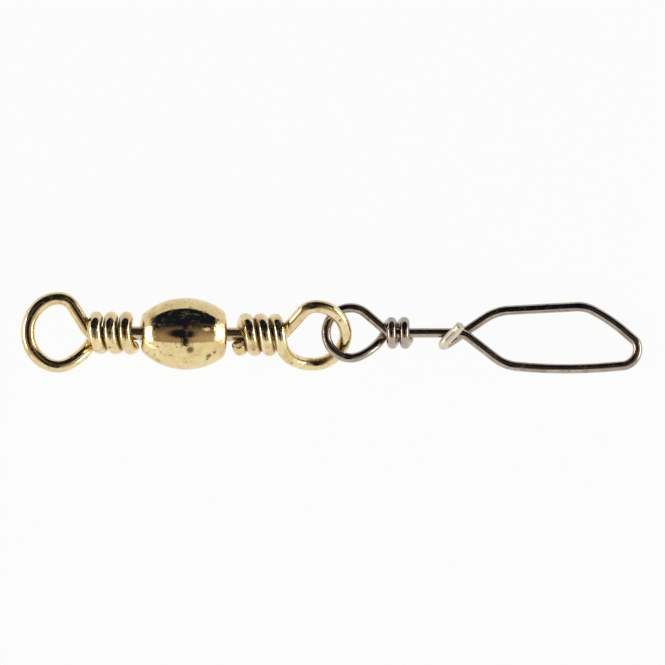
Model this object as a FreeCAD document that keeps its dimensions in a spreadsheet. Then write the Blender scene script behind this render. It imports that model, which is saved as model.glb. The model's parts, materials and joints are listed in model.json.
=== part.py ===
# Fishing snap swivel, lying flat as it comes to rest on a table.
# A hollow swaged barrel holds the upset heads of two wire eyes, so that each eye spins freely.
# A hooked snap, bent from one length of spring wire, is linked through the right-hand eye.
# Lengths are in millimetres and angles in degrees. X runs along the swivel and Z points up.
import FreeCAD
import Part

import math
import os
from dataclasses import dataclass

import Sketcher
from FreeCAD import Placement
from FreeCAD import Rotation
from FreeCAD import Vector

# Driving dimensions, each named by its alias in the sheet
SIZES = {
    # barrel: a shell swaged in at both ends, its belly a little nearer to the link eye
    "barrel_length": 6.10,
    "barrel_girth": 5.19,
    "barrel_bow_radius": 4.57,
    "barrel_belly_shift": 0.17,
    "barrel_corner_radius": 0.58,
    "barrel_wall": 0.46,
    "barrel_end_wall": 0.55,
    # wire of the two swivel eyes, with the shank and head that turn in the barrel
    "eye_wire": 0.93,
    "shank_diameter": 0.99,
    "shank_clearance": 0.06,
    "head_diameter": 1.70,
    "head_length": 1.10,
    "head_dome": 0.30,
    "head_clearance": 0.06,
    # ring and leg of the two swivel eyes
    "eye_half_height": 2.44,
    "eye_nose_flat": 0.21,
    "eye_shoulder_radius": 1.19,
    "eye_bend_radius": 0.58,
    "eye_leg_clearance": 0.04,
    "eye_wrap_clearance": 0.09,
    # wraps of the line eye
    "line_neck": 0.05,
    "line_wrap_gap": 0.155,
    "line_turns": 2.825,
    "line_root": 2.33,
    "line_under": 0.33,
    "line_sway": 0.10,
    "line_bow": 0.37,
    # wraps of the link eye
    "link_neck": 0.33,
    "link_wrap_gap": 0.135,
    "link_turns": 2.98,
    "link_root": 2.495,
    "link_tail_gap": 0.05,
    "link_sway": 0.03,
    "link_bow": 0.08,
    "link_foot": 0.18,
    # snap: its wire, its eye and the wraps on its shaft
    "snap_wire": 0.69,
    "snap_half_height": 1.81,
    "snap_nose_flat": 0.02,
    "snap_shoulder_radius": 1.70,
    "snap_bend_radius": 0.50,
    "snap_leg_clearance": 0.04,
    "snap_wrap_clearance": 0.11,
    "snap_wrap_gap": 0.24,
    "snap_turns": 1.95,
    "snap_root": 2.48,
    "snap_sway": 0.19,
    "snap_bow": 0.06,
    "snap_shaft": 3.86,
    # loop of the snap: corners measured from the end of the shaft, each with its bend radius
    "shaft_end_bend": 1.50,
    "loop_near_x": 3.00,
    "loop_near_drop": 2.34,
    "loop_near_bend": 2.95,
    "loop_belly_x": 7.40,
    "loop_belly_drop": 2.73,
    "loop_belly_bend": 36.0,
    "loop_reach": 12.62,
    "tip_low_drop": 2.29,
    "tip_low_bend": 1.22,
    "tip_high_drop": 0.74,
    "tip_high_bend": 0.76,
    "loop_slope_x": 10.78,
    "loop_slope_rise": 0.86,
    "loop_slope_bend": 11.5,
    "loop_crown_x": 8.88,
    "loop_crown_rise": 1.93,
    "loop_crown_bend": 2.38,
    "loop_hip_x": 2.40,
    "loop_hip_rise": 1.62,
    "loop_hip_bend": 3.67,
    "loop_hip_sink": 0.45,
    # hook of the snap: it dips under the shaft, turns back over it and ends bent up
    "hook_clearance": 0.04,
    "hook_reach": 1.67,
    "hook_back_x": 1.48,
    "hook_back_drop": 0.79,
    "hook_mouth": 0.30,
    "hook_rise": 0.54,
    "hook_kink_x": 0.55,
    "hook_kink_rise": 0.11,
    "hook_kink_bend": 0.90,
    "hook_end_x": 0.27,
    "hook_end_rise": 0.44,
    "hook_end_lift": 0.36,
    # how the snap lies in the link eye
    "link_slack": 0.60,
    "link_clearance": 0.05,
    "snap_side_offset": 0.22,
    "snap_lean": 4.2,
    "snap_yaw": 0.7,
}

# How fully each lower leg sweeps round before it meets its wraps
LINE_LEG_FULLNESS = 0.42
LINK_LEG_FULLNESS = 0.50
SNAP_LEG_FULLNESS = 0.37


doc = FreeCAD.newDocument("SnapSwivel")
sheet = doc.addObject("Spreadsheet::Sheet", "Sizes")
for row, (alias, value) in enumerate(SIZES.items(), start=1):
    sheet.set(f"A{row}", alias)
    sheet.set(f"B{row}", str(value))
    sheet.setAlias(f"B{row}", alias)
doc.recompute()


def size(alias):
    """A driving dimension, as the sheet holds it."""
    return float(sheet.get(alias))


# Paths of bent wire

def rounded(corners, radii):
    """Straight runs joined by tangent arcs, one radius for each inner corner.

    Where two arcs need more than the run between them, both shrink to share it.
    """
    runs = [(b - a).Length for a, b in zip(corners, corners[1:])]
    bends = []
    for before, corner, after, radius in zip(corners, corners[1:], corners[2:], radii):
        back = (before - corner).normalize()
        ahead = (after - corner).normalize()
        half_turn = (math.pi - back.getAngle(ahead)) / 2
        bends.append((corner, back, ahead, half_turn, radius * math.tan(half_turn)))
    reaches = [0.0] + [bend[4] for bend in bends] + [0.0]
    shares = [min(1.0, 0.998 * run / max(a + b, 1e-9))
              for run, a, b in zip(runs, reaches, reaches[1:])]

    edges = []
    here = corners[0]
    for (corner, back, ahead, half_turn, reach), left, right in zip(bends, shares, shares[1:]):
        reach *= min(left, right)
        radius = reach / math.tan(half_turn)
        start = corner + back * reach
        end = corner + ahead * reach
        middle = corner + (back + ahead).normalize() * (radius / math.cos(half_turn) - radius)
        if (start - here).Length > 1e-5:
            edges.append(Part.LineSegment(here, start).toShape())
        edges.append(Part.Arc(start, middle, end).toShape())
        here = end
    edges.append(Part.LineSegment(here, corners[-1]).toShape())
    return edges


def curve(start, out_handle, in_handle, end):
    """A cubic curve that leaves along out_handle and arrives along in_handle."""
    bezier = Part.BezierCurve()
    bezier.setPoles([start, start + out_handle, end - in_handle, end])
    return bezier.toShape()


def points_right(outward, upward, forward):
    """Place a point of an eye that points right."""
    return Vector(outward, upward, forward)


def points_left(outward, upward, forward):
    """Place a point of an eye that points left: the same form turned half round upright."""
    return Vector(-outward, upward, -forward)


@dataclass
class Eye:
    """A bent eye: its shank leaves the wraps, rises as a leg, rings round and wraps itself.

    Distances are outward along the shank, upward in the plane of the ring, and forward.
    """
    place: object
    wire: float
    shank: float
    half_height: float
    nose_flat: float
    shoulder_radius: float
    bend_radius: float
    leg_clearance: float
    wrap_clearance: float
    wrap_gap: float
    turns: float
    root: float
    leans: tuple
    tail_shift: float
    leg_fullness: float
    tail_x: float

    @property
    def pitch(self):
        return self.wire + self.wrap_gap

    @property
    def helix_radius(self):
        return (self.wire + self.shank) / 2 + self.wrap_clearance

    @property
    def crossing_x(self):
        """Where the lower leg crosses the shank and becomes the first wrap, but for its lean."""
        return self.tail_x + self.pitch * self.turns - self.lean(4 * self.turns)

    @property
    def centre_x(self):
        return self.crossing_x + self.root

    @property
    def half_width(self):
        return self.half_height - self.nose_flat

    @property
    def nose_x(self):
        return self.centre_x + self.half_width

    @property
    def nose_centre(self):
        """Centre of the nose's arc: a 3-4-5 triangle joins it smoothly to the sides."""
        return Vector(self.centre_x - 1.5 * self.nose_flat, 0, 0)

    def direction(self, outward, upward, forward):
        return self.place(outward, upward, forward) - self.place(0, 0, 0)

    def arc(self, x, y, radius, start_angle, end_angle):
        """An arc in the plane of the ring, its angles in radians."""
        angles = (start_angle, (start_angle + end_angle) / 2, end_angle)
        points = [self.place(x + radius * math.cos(a), y + radius * math.sin(a), 0)
                  for a in angles]
        return Part.Arc(*points).toShape()

    def lean(self, quarter):
        """How far outwards the wraps lie from an even helix, here in the turn.

        The four leans are those in front, on top, behind and at the foot.
        """
        low = math.floor(quarter)
        share = quarter - low
        return self.leans[low % 4] * (1 - share) + self.leans[(low + 1) % 4] * share

    def wrap_x(self, quarter):
        """Position along the shank after this many quarter turns from the crossing."""
        tail = self.tail_shift * max(0.0, quarter - 4 * self.turns + 1)
        return self.crossing_x - self.pitch * quarter / 4 + self.lean(quarter) + tail

    def wrap_point(self, quarter):
        angle = math.pi / 2 * (1 - quarter)
        return self.place(
            self.wrap_x(quarter),
            self.helix_radius * math.cos(angle),
            self.helix_radius * math.sin(angle),
        )

    def wrap_handle(self, quarter, span):
        """Curve handle at a point of the wraps, for a span given in quarter turns."""
        low = max(quarter - 1, 0.0)
        high = min(quarter + 1, 4 * self.turns)
        slope = (self.wrap_x(high) - self.wrap_x(low)) / (high - low)
        angle = math.pi / 2 * (1 - quarter)
        reach = 4 / 3 * math.tan(math.pi / 8 * span)
        swing = reach * self.helix_radius
        return self.direction(
            reach * slope * 2 / math.pi, swing * math.sin(angle), -swing * math.cos(angle)
        )

    def wraps(self):
        """Quarter-turn curves: front, top, behind, bottom, and on towards the tail."""
        steps = [float(q) for q in range(math.ceil(4 * self.turns))] + [4 * self.turns]
        for start, end in zip(steps, steps[1:]):
            span = end - start
            yield curve(
                self.wrap_point(start),
                self.wrap_handle(start, span),
                self.wrap_handle(end, span),
                self.wrap_point(end),
            )

    def leg(self):
        """The shank's bend, clear of the first wrap, and the end of the straight leg."""
        rise = self.half_height - self.shoulder_radius
        angle = math.radians(50)
        for _ in range(20):
            ease = self.wire + self.leg_clearance - self.helix_radius * math.cos(angle)
            bend_x = self.wrap_x(1) + max(ease, 0.0) / math.sin(angle)
            run = self.centre_x - bend_x
            angle = math.atan2(rise, run)
            angle += math.asin(min(self.shoulder_radius / math.hypot(run, rise), 0.95))
        end_x = self.centre_x - self.shoulder_radius * math.sin(angle)
        end_y = rise + self.shoulder_radius * math.cos(angle)
        return bend_x, self.place(bend_x, 0, 0), self.place(end_x, end_y, 0), angle

    def path(self, run_in, radii):
        """The whole centre line: what runs in to the shank's bend, then the eye and its wraps."""
        _, bend, leg_end, leg_angle = self.leg()
        edges = rounded(run_in + [bend, leg_end], radii + [self.bend_radius])

        flat = self.nose_flat
        upright = math.pi / 2
        joint = math.atan2(4, 3)
        side_radius = self.half_width - flat
        shoulder_y = self.half_height - self.shoulder_radius
        edges.append(self.arc(
            self.centre_x, shoulder_y, self.shoulder_radius, upright + leg_angle, upright
        ))
        edges.append(self.arc(self.centre_x, 2 * flat, side_radius, upright, joint))
        edges.append(self.arc(
            self.nose_centre.x, 0, self.half_width + 1.5 * flat, joint, -joint
        ))
        edges.append(self.arc(self.centre_x, -2 * flat, side_radius, -joint, -upright))

        # the lower leg sweeps up past the shank and runs into the wraps
        heading = self.wrap_handle(0.0, 1.0).normalize()
        edges.append(curve(
            self.place(self.centre_x, -self.half_height, 0),
            self.direction(-self.leg_fullness * self.root, 0, 0),
            heading * (self.leg_fullness * self.half_height),
            self.wrap_point(0.0),
        ))
        edges.extend(self.wraps())
        return edges


# Features of the document

def wire_sweep(name, edges, diameter_alias):
    """A round wire swept along joined edges; its diameter follows the sheet."""
    path = doc.addObject("Part::Feature", name + "_path")
    path.Shape = Part.Wire(edges)
    first = path.Shape.Edges[0]
    start = first.valueAt(first.FirstParameter)
    heading = first.tangentAt(first.FirstParameter)
    section = doc.addObject("Part::Circle", name + "_section")
    section.setExpression("Radius", f"Sizes.{diameter_alias} / 2")
    section.Placement = Placement(start, Rotation(Vector(0, 0, 1), heading))
    sweep = doc.addObject("Part::Sweep", name + "_wire")
    sweep.Sections = [section]
    sweep.Spine = (path, [f"Edge{n}" for n in range(1, len(path.Shape.Edges) + 1)])
    sweep.Solid = True
    return path, sweep


def swivel_eye(name, eye):
    """A brass eye with its thicker shank and the upset head that the barrel holds."""
    inside = size("barrel_length") / 2 - size("barrel_end_wall") - size("head_clearance")
    start_x = inside - size("head_length") / 2
    path, sweep = wire_sweep(name, eye.path([eye.place(start_x, 0, 0)], []), "eye_wire")
    outward = Rotation(Vector(0, 0, 1), eye.direction(1, 0, 0))

    shank = doc.addObject("Part::Cylinder", name + "_shank")
    shank.setExpression("Radius", "Sizes.shank_diameter / 2")
    shank.Height = eye.leg()[0] - eye.bend_radius / 2 - start_x
    shank.Placement = Placement(eye.place(start_x, 0, 0), outward)

    head = doc.addObject("Part::Cylinder", name + "_head")
    head.setExpression("Radius", "Sizes.head_diameter / 2")
    head.setExpression("Height", "Sizes.head_length - Sizes.head_dome")
    head_x = inside - size("head_length") + size("head_dome")
    head.Placement = Placement(eye.place(head_x, 0, 0), outward)
    dome = doc.addObject("Part::Cone", name + "_dome")
    dome.setExpression("Radius1", "Sizes.head_diameter / 2 - Sizes.head_dome / 2")
    dome.setExpression("Radius2", "Sizes.head_diameter / 2")
    dome.setExpression("Height", "Sizes.head_dome")
    dome.Placement = Placement(eye.place(head_x - size("head_dome"), 0, 0), outward)

    body = doc.addObject("Part::MultiFuse", name)
    body.Shapes = [sweep, shank, head, dome]
    body.Refine = True
    body.Label = name
    return body, path


def revolve_feature(body, kind, name, sketch):
    """Turn a closed outline about the barrel's axis, to add or to cut."""
    axis = next(f for f in body.Origin.OriginFeatures if f.Role == "X_Axis")
    feature = body.newObject(kind, name)
    feature.Profile = sketch
    feature.ReferenceAxis = (axis, [""])
    feature.Angle = 360
    doc.recompute()
    return feature


def half_outline(body, name, half_length, top, bow_radius):
    """An outline above the axis: two upright ends and a top, bowed if bow_radius is given.

    half_length, top and bow_radius are pairs: the value, and its expression in the sheet.
    """
    plane = next(f for f in body.Origin.OriginFeatures if f.Role == "XY_Plane")
    sketch = body.newObject("Sketcher::SketchObject", name)
    sketch.AttachmentSupport = (plane, [""])
    sketch.MapMode = "FlatFace"
    half = half_length[0]
    rules = [("left", Sketcher.Constraint("DistanceX", 0, 1, -1, 1, half), half_length[1]),
             ("right", Sketcher.Constraint("DistanceX", -1, 1, 2, 2, half), half_length[1])]
    if bow_radius is None:
        left_top = Vector(-half, top[0], 0)
        right_top = Vector(half, top[0], 0)
        roof = Part.LineSegment(right_top, left_top)
        level = Sketcher.Constraint("Horizontal", 1)
        rules.append(("top", Sketcher.Constraint("DistanceY", 0, 1, 0, 2, top[0]), top[1]))
    else:
        shift = size("barrel_belly_shift")
        centre = Vector(shift, top[0] - bow_radius[0], 0)
        start = math.acos((half - shift) / bow_radius[0])
        end = math.pi - math.acos((half + shift) / bow_radius[0])
        circle = Part.Circle(centre, Vector(0, 0, 1), bow_radius[0])
        roof = Part.ArcOfCircle(circle, start, end)
        right_top = circle.value(start)
        left_top = circle.value(end)
        level = None
        rules.append(("bow", Sketcher.Constraint("Radius", 1, bow_radius[0]), bow_radius[1]))
        rules.append(("shift", Sketcher.Constraint("DistanceX", -1, 1, 1, 3, shift),
                      "Sizes.barrel_belly_shift"))
        rules.append(("sink", Sketcher.Constraint("DistanceY", 1, 3, -1, 1, -centre.y),
                      f"{bow_radius[1]} - ({top[1]})"))
    sketch.addGeometry(Part.LineSegment(Vector(-half, 0, 0), left_top))
    sketch.addGeometry(roof)
    sketch.addGeometry(Part.LineSegment(right_top, Vector(half, 0, 0)))
    sketch.addGeometry(Part.LineSegment(Vector(half, 0, 0), Vector(-half, 0, 0)))
    for joint in ((0, 2, 1, 2), (1, 1, 2, 1), (2, 2, 3, 1), (3, 2, 0, 1)):
        sketch.addConstraint(Sketcher.Constraint("Coincident", *joint))
    sketch.addConstraint(Sketcher.Constraint("Vertical", 0))
    sketch.addConstraint(Sketcher.Constraint("Vertical", 2))
    sketch.addConstraint(Sketcher.Constraint("PointOnObject", 0, 1, -1))
    sketch.addConstraint(Sketcher.Constraint("PointOnObject", 2, 2, -1))
    if level:
        sketch.addConstraint(level)
    for rule, constraint, expression in rules:
        number = sketch.addConstraint(constraint)
        sketch.renameConstraint(number, rule)
        sketch.setExpression(f"Constraints.{rule}", expression)
    return sketch


def barrel_shell():
    """The swaged shell: a turned outline with rounded ends, hollow, and bored at both ends."""
    body = doc.addObject("PartDesign::Body", "barrel")
    body.Label = "barrel"
    half = size("barrel_length") / 2
    girth = size("barrel_girth") / 2
    bow = size("barrel_bow_radius")
    wall = size("barrel_wall")
    outline = half_outline(
        body, "barrel_outline",
        (half, "Sizes.barrel_length / 2"),
        (girth, "Sizes.barrel_girth / 2"),
        (bow, "Sizes.barrel_bow_radius"),
    )
    solid = revolve_feature(body, "PartDesign::Revolution", "barrel_solid", outline)

    rims = [f"Edge{n}" for n, edge in enumerate(solid.Shape.Edges, start=1)
            if abs(edge.BoundBox.XMax - edge.BoundBox.XMin) < 1e-3
            and abs(abs(edge.BoundBox.XMax) - half) < 1e-3]
    rounding = body.newObject("PartDesign::Fillet", "barrel_rounding")
    rounding.Base = (solid, rims)
    rounding.setExpression("Radius", "Sizes.barrel_corner_radius")
    doc.recompute()

    cavity = half_outline(
        body, "barrel_cavity",
        (half - size("barrel_end_wall"), "Sizes.barrel_length / 2 - Sizes.barrel_end_wall"),
        (girth - wall, "Sizes.barrel_girth / 2 - Sizes.barrel_wall"),
        (bow - wall, "Sizes.barrel_bow_radius - Sizes.barrel_wall"),
    )
    revolve_feature(body, "PartDesign::Groove", "barrel_hollow", cavity)

    bore = half_outline(
        body, "barrel_bore",
        (half + wall, "Sizes.barrel_length / 2 + Sizes.barrel_wall"),
        (size("shank_diameter") / 2 + size("shank_clearance"),
         "Sizes.shank_diameter / 2 + Sizes.shank_clearance"),
        None,
    )
    revolve_feature(body, "PartDesign::Groove", "barrel_holes", bore)
    return body


def snap_run_in():
    """Corners of the snap from the hook's cut end, round the loop, to the end of the shaft."""
    wire = size("snap_wire")
    under = wire + size("hook_clearance")
    hip = Vector(size("loop_hip_x"), size("loop_hip_rise"), -size("loop_hip_sink"))
    flat_run = math.hypot(hip.x, hip.y)
    # the strand sinks on a straight line from the hip and passes under the shaft's end
    dip = (under - size("loop_hip_sink")) / flat_run
    reach = size("hook_reach")
    hook_low = Vector(
        -hip.x / flat_run * reach, -hip.y / flat_run * reach, -under - dip * reach
    )
    kink_level = wire + size("hook_mouth")
    hook_high = Vector(
        -size("hook_back_x"), -size("hook_back_drop"), kink_level - size("hook_rise")
    )
    kink = Vector(-size("hook_kink_x"), size("hook_kink_rise"), kink_level)
    end = Vector(-size("hook_end_x"), size("hook_end_rise"), kink_level + size("hook_end_lift"))
    turn_radius = (hook_high - hook_low).Length / 2
    reach_x = size("loop_reach")
    corners = [
        end,
        kink,
        hook_high,
        hook_low,
        hip,
        Vector(size("loop_crown_x"), size("loop_crown_rise"), 0),
        Vector(size("loop_slope_x"), size("loop_slope_rise"), 0),
        Vector(reach_x, -size("tip_high_drop"), 0),
        Vector(reach_x, -size("tip_low_drop"), 0),
        Vector(size("loop_belly_x"), -size("loop_belly_drop"), 0),
        Vector(size("loop_near_x"), -size("loop_near_drop"), 0),
        Vector(0, 0, 0),
    ]
    radii = [
        size("hook_kink_bend"),
        turn_radius,
        turn_radius,
        size("loop_hip_bend"),
        size("loop_crown_bend"),
        size("loop_slope_bend"),
        size("tip_high_bend"),
        size("tip_low_bend"),
        size("loop_belly_bend"),
        size("loop_near_bend"),
        size("shaft_end_bend"),
    ]
    return corners, radii


# How the three linked pieces lie on the table

def root_of(function, low, high):
    """Where a function that falls from low to high passes through nought."""
    for _ in range(24):
        middle = (low + high) / 2
        if function(middle) > 0:
            low = middle
        else:
            high = middle
    return (low + high) / 2


def lowest(points, place):
    return min(place.multVec(point).z for point in points)


def swivel_place(link_points, roll):
    """The swivel's pose: its barrel's belly and the rolled link eye's side touch the table."""
    bow = size("barrel_bow_radius")
    sink = bow - size("barrel_girth") / 2
    rolled = Placement(Vector(), Rotation(Vector(1, 0, 0), roll))

    def pose(pitch):
        angle = math.radians(pitch)
        belly = size("barrel_belly_shift") * math.sin(angle)
        height = bow - sink * math.cos(angle) + belly
        return Placement(Vector(0, 0, height), Rotation(Vector(0, 1, 0), pitch))

    pitch = root_of(
        lambda angle: lowest(link_points, pose(angle) * rolled) - size("eye_wire") / 2, -30, 45
    )
    return pose(pitch), pose(pitch) * rolled


def snap_place(snap_points, nose, link_point):
    """The snap's pose: its nose hangs in the link eye and its lowest point touches the table."""
    def pose(pitch):
        turn = Rotation(Vector(0, 0, 1), size("snap_yaw"))
        turn = turn * Rotation(Vector(0, 1, 0), pitch)
        turn = turn * Rotation(Vector(1, 0, 0), -size("snap_lean"))
        return Placement(link_point - turn.multVec(nose), turn)

    pitch = root_of(
        lambda angle: lowest(snap_points, pose(angle)) - size("snap_wire") / 2, -10, 40
    )
    return pose(pitch)


def resting_places(link_eye, link_path, snap_eye, snap_path):
    """Poses of the swivel, the link eye and the snap, with the two rings clear of each other."""
    link_points = link_path.discretize(Number=300)
    snap_points = snap_path.discretize(Number=600)
    apart = (size("eye_wire") + size("snap_wire")) / 2
    nose = snap_eye.place(snap_eye.nose_x, 0, 0)
    hang_x = link_eye.nose_x - apart - size("link_slack")

    def poses(roll):
        swivel, link = swivel_place(link_points, roll)
        hang = link.multVec(Vector(hang_x, size("snap_side_offset"), 0))
        return swivel, link, snap_place(snap_points, nose, hang)

    def shortfall(roll):
        _, link, snap = poses(roll)
        link_wire = link_path.copy()
        link_wire.Placement = link
        snap_wire = snap_path.copy()
        snap_wire.Placement = snap
        return apart + size("link_clearance") - link_wire.distToShape(snap_wire)[0]

    return poses(root_of(shortfall, 5, 75))


def swivel_eye_form(place, name):
    """The form of a swivel eye whose wraps end beside the barrel."""
    tail = size("barrel_length") / 2 + size(name + "_neck") + size("eye_wire") / 2
    if name == "line":
        sway = size("line_sway")
        leans = (-size("line_under"), -sway, size("line_bow"), sway)
    else:
        leans = (0.0, -size("link_sway"), size("link_bow"), size("link_foot"))
    return Eye(
        place=place,
        wire=size("eye_wire"),
        shank=size("shank_diameter"),
        half_height=size("eye_half_height"),
        nose_flat=size("eye_nose_flat"),
        shoulder_radius=size("eye_shoulder_radius"),
        bend_radius=size("eye_bend_radius"),
        leg_clearance=size("eye_leg_clearance"),
        wrap_clearance=size("eye_wrap_clearance"),
        wrap_gap=size(name + "_wrap_gap"),
        turns=size(name + "_turns"),
        root=size(name + "_root"),
        leans=leans,
        tail_shift=size("link_wrap_gap") - size("link_tail_gap") if name == "link" else 0.0,
        leg_fullness=LINE_LEG_FULLNESS if name == "line" else LINK_LEG_FULLNESS,
        tail_x=tail,
    )


def snap_eye_form():
    """The form of the snap's eye, whose wraps end along the shaft."""
    return Eye(
        place=points_left,
        wire=size("snap_wire"),
        shank=size("snap_wire"),
        half_height=size("snap_half_height"),
        nose_flat=size("snap_nose_flat"),
        shoulder_radius=size("snap_shoulder_radius"),
        bend_radius=size("snap_bend_radius"),
        leg_clearance=size("snap_leg_clearance"),
        wrap_clearance=size("snap_wrap_clearance"),
        wrap_gap=size("snap_wrap_gap"),
        turns=size("snap_turns"),
        root=size("snap_root"),
        leans=(0.0, -size("snap_sway"), size("snap_bow"), size("snap_sway")),
        tail_shift=0.0,
        leg_fullness=SNAP_LEG_FULLNESS,
        tail_x=size("snap_shaft"),
    )


# The four pieces
barrel = barrel_shell()
line_form = swivel_eye_form(points_left, "line")
link_form = swivel_eye_form(points_right, "link")
snap_form = snap_eye_form()
line_eye, line_path = swivel_eye("line_eye", line_form)
link_eye, link_path = swivel_eye("link_eye", link_form)
snap_path, snap_wire = wire_sweep("snap", snap_form.path(*snap_run_in()), "snap_wire")
snap_wire.Label = "snap_wire"
doc.recompute()

# They rest on the table, with the origin under the middle of the whole
swivel, link, snap = resting_places(link_form, link_path.Shape, snap_form, snap_path.Shape)
poses = {barrel: swivel, line_eye: swivel, link_eye: link, snap_wire: snap}
boxes = FreeCAD.BoundBox()
for piece, pose in poses.items():
    piece.Placement = pose
doc.recompute()
for piece in poses:
    boxes.add(piece.Shape.optimalBoundingBox(False))
to_origin = Vector(-boxes.Center.x, -boxes.Center.y, -boxes.ZMin)
for piece, pose in poses.items():
    piece.Placement = Placement(to_origin, Rotation()) * pose
doc.recompute()

for item in doc.Objects:
    if "Invalid" in item.State or "Error" in item.State:
        raise RuntimeError(f"{item.Name} failed to build")
for piece in poses:
    if piece.Shape.isNull() or not piece.Shape.isValid():
        raise RuntimeError(f"{piece.Label} has no sound shape")
    if len(piece.Shape.Solids) != 1:
        raise RuntimeError(f"{piece.Label} is not one solid")

os.makedirs("parts", exist_ok=True)
for piece in poses:
    piece.Shape.exportStep(f"parts/{piece.Label}.step")
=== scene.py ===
"""Fishing snap swivel: a brass barrel swivel with a hooked wire snap, on a white table.

The packed model is loaded as a fixed frame. The swaged shell and the three bent wires are
then made again as smooth, worn metal, each in the place of its solid.
"""
import json
import math
from dataclasses import dataclass

import bpy
from bpy.props import FloatProperty, FloatVectorProperty, IntProperty, PointerProperty
from mathutils import Matrix, Vector, noise
from mathutils.kdtree import KDTree


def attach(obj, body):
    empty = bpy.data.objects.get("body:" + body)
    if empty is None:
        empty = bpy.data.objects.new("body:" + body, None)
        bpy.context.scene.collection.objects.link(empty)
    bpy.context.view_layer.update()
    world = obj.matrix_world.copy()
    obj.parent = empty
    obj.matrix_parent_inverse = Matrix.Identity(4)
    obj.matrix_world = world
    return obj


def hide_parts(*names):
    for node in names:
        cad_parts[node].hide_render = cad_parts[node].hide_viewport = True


bl_info = {
    "name": "Fishing snap swivel",
    "version": (1, 0, 0),
    "blender": (4, 5, 0),
    "location": "View3D > Sidebar > Snap swivel",
    "description": "Builds a brass barrel swivel with a hooked wire snap, and its studio",
    "category": "Object",
}

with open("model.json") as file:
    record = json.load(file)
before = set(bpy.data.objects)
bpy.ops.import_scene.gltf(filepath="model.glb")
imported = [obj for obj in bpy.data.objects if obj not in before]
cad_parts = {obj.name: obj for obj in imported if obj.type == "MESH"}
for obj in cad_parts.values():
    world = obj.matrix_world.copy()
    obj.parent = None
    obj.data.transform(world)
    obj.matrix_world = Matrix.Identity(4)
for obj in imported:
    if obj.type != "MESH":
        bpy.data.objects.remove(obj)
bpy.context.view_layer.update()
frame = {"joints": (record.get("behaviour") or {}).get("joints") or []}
JOINTS = {joint["name"]: joint for joint in frame["joints"]}

MM = 0.001
WIRE_STEP = 0.07  # millimetres between the rings of a wire's skin
WIRE_SIDES = 36  # facets round a wire's skin
SEAM_REACH = 0.32  # millimetres from another turn of the wire to where the tarnish and painted shade of a seam end
SAME_TURN = 2.5  # millimetres along a wire that belong to the same turn
HARD_EDGE = 38  # degrees between two faces that make an edge look sharp
BLACK_CLOTH = "171C2B"  # the curtain and the unlit cloths, as the metal shows them


# Sizes and colours that a user would change

def length(name, description, millimetres):
    """A size, written in millimetres and kept in metres."""
    return FloatProperty(
        name=name, description=description, default=millimetres * MM,
        min=0.0, unit="LENGTH", precision=5,
    )


def hex_colour(text):
    """An sRGB hex value as linear red, green and blue."""
    channels = [int(text[i:i + 2], 16) / 255 for i in (0, 2, 4)]
    return tuple(c / 12.92 if c <= 0.04045 else ((c + 0.055) / 1.055) ** 2.4 for c in channels)


def colour(name, description, text):
    """A colour, written as an sRGB hex value and kept linear."""
    return FloatVectorProperty(
        name=name, description=description, default=hex_colour(text),
        size=3, min=0.0, max=1.0, subtype="COLOR",
    )


class BarrelSettings(bpy.types.PropertyGroup):
    """Sizes of the swaged brass shell."""
    length: length("Length", "Length of the shell along the swivel", 6.10)
    girth: length("Girth", "Diameter at the belly", 5.19)
    bow_radius: length("Bow radius", "Radius of the bowed outline", 4.57)
    belly_shift: length("Belly shift", "How far the belly lies from the middle", 0.17)
    corner_radius: length("Corner radius", "Radius of the rounded ends", 0.58)
    wall: length("Wall", "Thickness of the shell's side", 0.46)
    end_wall: length("End wall", "Thickness of the closed-in ends", 0.55)
    hole: length("Hole", "Diameter of the holes that the shanks turn in", 1.11)
    ripple: length("Ripple", "Height of the waviness that swaging leaves", 0.007)
    ripple_span: length("Ripple span", "Distance from one ripple to the next", 0.75)
    segments: IntProperty(
        name="Segments", description="Facets round the shell", default=288, min=24, max=400
    )


class EyeSettings(bpy.types.PropertyGroup):
    """Sizes that the two brass eyes share."""
    wire: length("Wire", "Diameter of the eye's wire", 0.93)
    shank: length("Shank", "Diameter of the shank that turns in the barrel", 0.99)
    head: length("Head", "Diameter of the upset head inside the barrel", 1.70)
    head_length: length("Head length", "Length of the upset head", 1.10)
    head_dome: length("Head dome", "Length of the head's bevelled end", 0.30)
    head_clearance: length("Head clearance", "Gap from the head to the shell's end", 0.06)
    half_height: length("Half height", "From the shank's axis to the ring's centre line", 2.44)


class SnapSettings(bpy.types.PropertyGroup):
    """Sizes of the spring wire snap."""
    wire: length("Wire", "Diameter of the spring wire", 0.69)
    half_height: length("Half height", "From the shaft's axis to the eye's centre line", 1.81)
    shaft: length("Shaft", "From the end of the shaft to the last wrap", 3.86)
    reach: length("Reach", "From the end of the shaft to the tip of the loop", 12.62)


class FinishSettings(bpy.types.PropertyGroup):
    """Colours of the metals."""
    brass: colour("Brass", "Bright polished brass", "F3DFA7")
    # the wires' brass is a little paler than the barrel's, as painted sheen that brightens their
    # highlights
    brass_wire_and_sheen: colour("Brass wire", "Bright drawn brass, a little paler", "F5E4B4")
    brass_warm: colour("Warm brass", "Brass that has warmed with handling", "E0C283")
    # the tarnish colour also darkens the seams as painted shade
    tarnish_and_seam_shade: colour("Tarnish", "Brown oxide in pits and seams", "7E592C")
    nickel: colour("Nickel", "Bright nickel on the spring wire", "BDB0A0")
    nickel_dull: colour("Dull nickel", "Nickel that has lost its shine", "9C8E80")
    # the grime colour also darkens the spring wire's seams as painted shade
    grime_and_seam_shade: colour("Grime", "Grey brown dirt in the seams of the spring wire", "4A4038")
    # a paler colour laid on the hook, which its material also makes rougher
    hook_pale: colour("Scuffed", "Pale metal where the hook has been rubbed", "E2D6C2")


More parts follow.
